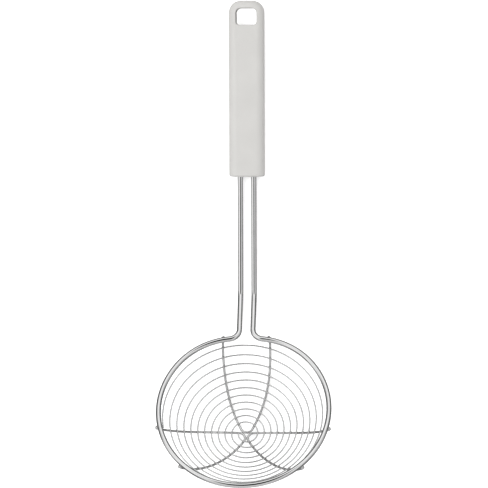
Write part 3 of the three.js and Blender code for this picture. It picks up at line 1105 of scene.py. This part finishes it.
@dataclass
class BasketWires:
    """The wires of the basket, made from its plan."""

    basket: Basket
    rib_finish: DrawnSteel
    spiral_finish: DrawnSteel
    pose: RestPose
    rib_sides: int = 24
    rib_rounding: float = 0.95
    spiral_sides: int = 16
    spiral_rounding: float = 0.6

    def build(self, welds: Welds) -> None:
        """Builds and dresses the three ribs and the spiral.

        Args:
            welds: the welds, which shade the wires near each one.
        """
        rib_steel = self.rib_finish.material()
        for rib in Rib:
            path = WirePath.through(
                f"rib_bent_{rib.name.lower()}", self.basket.rib_diameter, self.basket.plans[rib].points()
            )
            path.round_ends(self.rib_rounding)
            wire = path.make(self.rib_sides)
            self._dress(wire, rib_steel, welds)
            Bench.hand_over(wire, Slot.RIB, rib.node)
        path = WirePath.through("spiral_wound", self.basket.spiral_diameter, self.basket.spiral_points())
        path.round_ends(self.spiral_rounding)
        wire = path.make(self.spiral_sides)
        self._dress(wire, self.spiral_finish.material(), welds)
        Bench.hand_over(wire, Slot.SPIRAL, "spiral_wire")

    def _dress(self, wire: bpy.types.Object, steel: bpy.types.Material, welds: Welds) -> None:
        """Puts one wire in its place and gives it its finish."""
        Bench.settle(wire, self.pose.head_frame())
        welds.shade(wire)
        wire.data.materials.append(steel)


@dataclass(frozen=True)
class Card:
    """A round, soft-edged card in the surround: its direction, half angle, soft edge and grey."""

    toward: tuple
    reach: float
    fade: float
    grey: float


@dataclass(frozen=True)
class SoftLight:
    """A large soft light: its name, its place and size in metres, and its power in watts."""

    name: str
    place: tuple
    size: tuple
    watts: float


@dataclass
class Studio:
    """The pale floor, the soft lights, the cards that the steel mirrors, and the camera."""

    pose: RestPose
    pixel: float = 0.739
    image: int = 488
    rim_pixel: tuple = (243.65, 409.77)
    yaw: float = 3.6
    roll: float = -0.15
    distance: float = 12000.0
    scale_drop: float = 24.0
    sensor: float = 36.0
    aim: tuple = (0.0, -0.03, 0.02)
    table_size: float = 30.0
    table_drop: float = 0.0001
    table_grey: float = 0.86
    table_roughness: float = 0.9
    table_glow: float = 0.36
    backdrop: float = 0.9
    wall_stops: tuple = (
        (0, 0.8),
        (60, 0.8),
        (70, 0.58),
        (79, 0.14),
        (130, 0.12),
        (144, 0.6),
        (180, 0.68),
    )
    cards: tuple = (
        Card((0.05, 0.8, 0.6), 14.0, 18.0, 1.2),
        Card((0.5, 0.77, 0.4), 6.0, 12.0, 1.0),
        Card((-0.68, 0.1, 0.72), 15.0, 15.0, 1.2),
        Card((0.66, 0.1, 0.74), 12.0, 14.0, 1.1),
        Card((0.9, -0.1, 0.38), 14.0, 14.0, 0.52),
        Card((0.0, -1.0, 0.0), 26.0, 22.0, 0.7),
        Card((-0.99, -0.12, 0.08), 8.0, 10.0, 0.85),
        Card((0.99, -0.1, 0.0), 8.0, 10.0, 0.55),
    )
    strip_middle: tuple = (0.05, 0.1)
    strip_half: tuple = (0.35, 0.5)
    strip_fade: tuple = (0.88, 1.1)
    strip_grey: float = 0.005
    strip_flatten: float = 1e6
    lights: tuple = (
        SoftLight("softbox_above", (-1.6, 0.2, 9.0), (7.0, 7.0), 690.0),
        SoftLight("softbox_left", (-5.0, -0.4, 3.6), (3.0, 5.0), 10.0),
    )

    def build(self) -> None:
        """Sets up the whole studio."""
        self._floor()
        self._surround()
        for light in self.lights:
            self._softbox(light)
        self._camera()

    def _floor(self) -> None:
        """A plain white light table, which the steel doesn't mirror."""
        Bench.clear()
        bpy.ops.mesh.primitive_plane_add(size=self.table_size, location=(0, 0, -self.table_drop))
        floor = Bench.added("studio_floor")
        sheet = NodeSheet(bpy.data.materials.new("white_floor"))
        sheet.shader.inputs["Base Color"].default_value = (*[self.table_grey] * 3, 1.0)
        sheet.shader.inputs["Roughness"].default_value = self.table_roughness
        sheet.shader.inputs["Emission Color"].default_value = (1.0, 1.0, 1.0, 1.0)
        sheet.shader.inputs["Emission Strength"].default_value = self.table_glow
        floor.data.materials.append(sheet.owner)
        floor.visible_glossy = False

    def _surround(self) -> None:
        """What the steel mirrors: pale walls, the cards, and a dark strip right overhead."""
        sheet = NodeSheet(bpy.data.worlds.new("studio_surround"))
        place = sheet.add("ShaderNodeTexCoord").outputs["Generated"]
        seen = self._walls(sheet, place)
        for card in self.cards:
            toward = sheet.maths("DOT_PRODUCT", place, Vector(card.toward).normalized())
            ends = [math.cos(math.radians(angle)) for angle in (card.reach + card.fade, card.reach)]
            seen = sheet.blend(sheet.spread(toward.outputs["Value"], ends), seen, (card.grey,) * 3)
        seen = sheet.blend(self._strip(sheet, place), seen, (self.strip_grey,) * 3)
        ray = sheet.add("ShaderNodeLightPath").outputs["Is Camera Ray"]
        sheet.join(sheet.blend(ray, seen, (self.backdrop,) * 3), sheet.shader.inputs["Color"])
        bpy.context.scene.world = sheet.owner

    def _walls(self, sheet: NodeSheet, place: bpy.types.NodeSocket) -> bpy.types.NodeSocket:
        """The walls' grey, by the angle from straight up.

        Args:
            sheet: the surround's nodes.
            place: the direction in the surround.

        Returns:
            The socket with the grey.
        """
        node = sheet.add("ShaderNodeValToRGB")
        stops = self.wall_stops
        marks = sorted(((1 + math.cos(math.radians(angle))) / 2, grey) for angle, grey in stops)
        while len(node.color_ramp.elements) < len(marks):
            node.color_ramp.elements.new(0.5)
        for element, (position, grey) in zip(node.color_ramp.elements, marks):
            element.position = position
            element.color = (grey, grey, grey, 1.0)
        upwards = sheet.maths("DOT_PRODUCT", place, (0, 0, 1)).outputs["Value"]
        sheet.join(sheet.spread(upwards, (-1, 1)), node.inputs["Fac"])
        return node.outputs["Color"]

    def _strip(self, sheet: NodeSheet, place: bpy.types.NodeSocket) -> bpy.types.NodeSocket:
        """The dark strip overhead, an oval that is longer in the handle's direction.

        Args:
            sheet: the surround's nodes.
            place: the direction in the surround.

        Returns:
            The socket with how much of the strip is seen there.
        """
        shifted = sheet.maths("SUBTRACT", place, (*self.strip_middle, 0.0)).outputs["Vector"]
        halves = (*self.strip_half, self.strip_flatten)
        oval = sheet.maths("DIVIDE", shifted, halves).outputs["Vector"]
        reach = sheet.maths("LENGTH", oval).outputs["Value"]
        return sheet.spread(reach, self.strip_fade[::-1])

    def _softbox(self, plan: SoftLight) -> None:
        """Hangs one soft light, which points at the object and isn't mirrored in the steel."""
        Bench.clear()
        bpy.ops.object.light_add(type="AREA", location=plan.place)
        light = Bench.added(plan.name)
        light.data.shape = "RECTANGLE"
        light.data.size, light.data.size_y = plan.size
        light.data.energy = plan.watts
        light.visible_glossy = False
        light.visible_camera = False
        way = Vector(self.aim) - Vector(plan.place)
        light.rotation_euler = way.to_track_quat("-Z", "Y").to_euler()

    def _camera(self) -> None:
        """A long lens, square to the handle and a little to its right, as in the photograph."""
        yaw, roll = math.radians(self.yaw), math.radians(self.roll)
        turn = Matrix.Rotation(math.radians(self.pose.pitch), 3, "X")
        right = turn @ Vector((math.cos(yaw), 0, -math.sin(yaw)))
        up = turn @ Vector((0, 1, 0))
        back = turn @ Vector((math.sin(yaw), 0, math.cos(yaw)))
        right, up = (
            right * math.cos(roll) + up * math.sin(roll),
            up * math.cos(roll) - right * math.sin(roll),
        )
        across = (self.image / 2 - self.rim_pixel[0]) * self.pixel
        higher = (self.rim_pixel[1] - self.image / 2) * self.pixel
        target = self.pose.head_frame().translation + right * across + up * higher
        place = Matrix((right, up, back)).transposed().to_4x4()
        place.translation = (target + back * self.distance) * MM
        data = bpy.data.cameras.new("photo_camera")
        data.sensor_width = self.sensor
        data.lens = self.sensor * (self.distance + self.scale_drop) / (self.image * self.pixel)
        camera = bpy.data.objects.new("photo_camera", data)
        camera.matrix_world = place
        bpy.context.scene.collection.objects.link(camera)
        bpy.context.scene.camera = camera


def main() -> None:
    """Builds the studio and every piece of the skimmer."""
    logging.basicConfig(level=logging.INFO, format="%(name)s: %(message)s")
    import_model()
    bpy.context.scene.view_settings.view_transform = "Standard"
    pose = RestPose()
    Studio(pose).build()
    frame = FrameWire(DrawnSteel("frame_bright_wire"), pose)
    basket = Basket(frame)
    rib_steel = DrawnSteel(
        "rib_bright_wire", colour=(0.75, 0.75, 0.75), worn=(0.67, 0.67, 0.67), roughness=(0.2, 0.3)
    )
    spiral_steel = DrawnSteel(
        "spiral_bright_wire", colour=(0.76, 0.76, 0.76), worn=(0.71, 0.71, 0.71), roughness=(0.2, 0.3)
    )
    welds = Welds(basket, rib_steel, pose)
    HandleGrip(SatinPlastic(), pose).build()
    frame.build(welds)
    BasketWires(basket, rib_steel, spiral_steel, pose).build(welds)
    welds.build()


if __name__ == "__main__":
    main()
